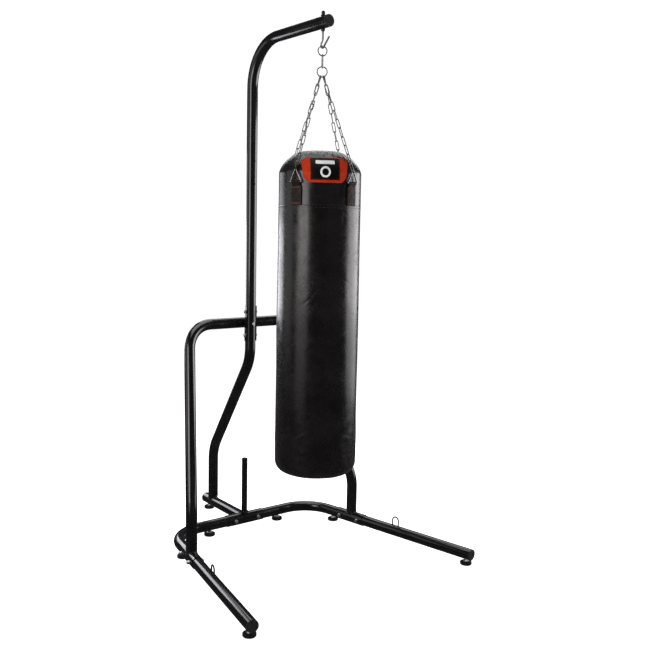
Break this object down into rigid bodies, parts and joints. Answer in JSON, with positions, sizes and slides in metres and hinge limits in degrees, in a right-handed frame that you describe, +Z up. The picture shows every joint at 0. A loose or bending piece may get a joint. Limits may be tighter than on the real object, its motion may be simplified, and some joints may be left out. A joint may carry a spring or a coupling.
{
  "type": "punching bag on stand",
  "caption": "Free-standing tubular steel stand with an overhead arm and a cylindrical leather punching bag hung from an open hook by rings and chains.",
  "frame": {"origin": "on the floor, under the middle of the base's outline", "axes": "+Z up; -Y the front, where the open ends of the base and the top arm point; +X the stand's right seen from behind the bag"},
  "size_m": [1.0756, 1.2252, 2.1155],
  "materials": {
    "frame_paint": "gloss",
    "plug_plastic": "satin",
    "bolt_zinc": "satin",
    "hook_steel": "polished",
    "chain_zinc": "satin",
    "foot_rubber": "matte",
    "strap_leather": "satin",
    "bag_leather": "gloss",
    "filling": "matte",
    "badge_red": "satin",
    "badge_black": "satin",
    "badge_white": "satin"
  },
  "bodies": {
    "stand": {"base_tee": "frame_paint", "corner_tube_left": "frame_paint", "corner_tube_right": "frame_paint", "front_arm_left": "frame_paint", "front_arm_right": "frame_paint", "support_frame": "frame_paint", "lower_mast": "frame_paint", "upper_mast": "frame_paint", "mast_bracket": "frame_paint", "weight_peg": "frame_paint", "arm_loop_left": "frame_paint", "arm_loop_right": "frame_paint", "cap_front_left": "plug_plastic", "cap_front_right": "plug_plastic", "cap_rear": "plug_plastic", "cap_top_arm": "plug_plastic", "base_bolts": "bolt_zinc", "base_nuts": "bolt_zinc", "base_washers": "bolt_zinc", "bracket_cross_bolts": "bolt_zinc", "bracket_through_bolt": "bolt_zinc", "bracket_nuts": "bolt_zinc", "hook": "hook_steel", "hook_nuts": "bolt_zinc", "hook_washers": "bolt_zinc"},
    "foot_front_left": {"foot_pad_front_left": "foot_rubber", "foot_stud_front_left": "bolt_zinc"},
    "foot_front_right": {"foot_pad_front_right": "foot_rubber", "foot_stud_front_right": "bolt_zinc"},
    "foot_side_left": {"foot_pad_side_left": "foot_rubber", "foot_stud_side_left": "bolt_zinc"},
    "foot_side_right": {"foot_pad_side_right": "foot_rubber", "foot_stud_side_right": "bolt_zinc"},
    "foot_cross_left": {"foot_pad_cross_left": "foot_rubber", "foot_stud_cross_left": "bolt_zinc"},
    "foot_cross_right": {"foot_pad_cross_right": "foot_rubber", "foot_stud_cross_right": "bolt_zinc"},
    "foot_rear": {"foot_pad_rear": "foot_rubber", "foot_stud_rear": "bolt_zinc"},
    "ring": {"upper_ring": "hook_steel"},
    "link": {"joining_link": "hook_steel"},
    "bag": {"lower_ring": "hook_steel", "chain_front_left": "chain_zinc", "chain_front_right": "chain_zinc", "chain_rear_left": "chain_zinc", "chain_rear_right": "chain_zinc", "triangle_rings": "hook_steel", "hanging_straps": "strap_leather", "bag_skin": "bag_leather", "top_panel": "bag_leather", "base_panel": "bag_leather", "bag_filling": "filling", "badge_backing": "badge_red", "badge_panel": "badge_black", "badge_marks": "badge_white"}
  },
  "joints": [
    {"name": "turn_foot_front_left", "type": "hinge", "parent": "stand", "child": "foot_front_left", "pos_m": [-0.511, -0.58219, 0.006], "axis": [0, 0, 1], "continuous": true},
    {"name": "turn_foot_front_right", "type": "hinge", "parent": "stand", "child": "foot_front_right", "pos_m": [0.511, -0.58219, 0.006], "axis": [0, 0, 1], "continuous": true},
    {"name": "turn_foot_side_left", "type": "hinge", "parent": "stand", "child": "foot_side_left", "pos_m": [-0.38236, 0.11882, 0.006], "axis": [0, 0, 1], "continuous": true},
    {"name": "turn_foot_side_right", "type": "hinge", "parent": "stand", "child": "foot_side_right", "pos_m": [0.38236, 0.11882, 0.006], "axis": [0, 0, 1], "continuous": true},
    {"name": "turn_foot_cross_left", "type": "hinge", "parent": "stand", "child": "foot_cross_left", "pos_m": [-0.175, 0.26981, 0.006], "axis": [0, 0, 1], "continuous": true},
    {"name": "turn_foot_cross_right", "type": "hinge", "parent": "stand", "child": "foot_cross_right", "pos_m": [0.175, 0.26981, 0.006], "axis": [0, 0, 1], "continuous": true},
    {"name": "turn_foot_rear", "type": "hinge", "parent": "stand", "child": "foot_rear", "pos_m": [0, 0.57981, 0.006], "axis": [0, 0, 1], "continuous": true},
    {"name": "swing_sideways", "type": "hinge", "parent": "stand", "child": "ring", "pos_m": [0, -0.24219, 1.9838], "axis": [0, 1, 0], "range_deg": [-6, 6]},
    {"name": "swing_back_and_forth", "type": "hinge", "parent": "ring", "child": "link", "pos_m": [0, -0.24219, 1.9557], "axis": [1, 0, 0], "range_deg": [-30, 13]},
    {"name": "twist", "type": "hinge", "parent": "link", "child": "bag", "pos_m": [0, -0.24219, 1.9164], "axis": [0, 0, 1], "range_deg": [-30, 30]}
  ]
}
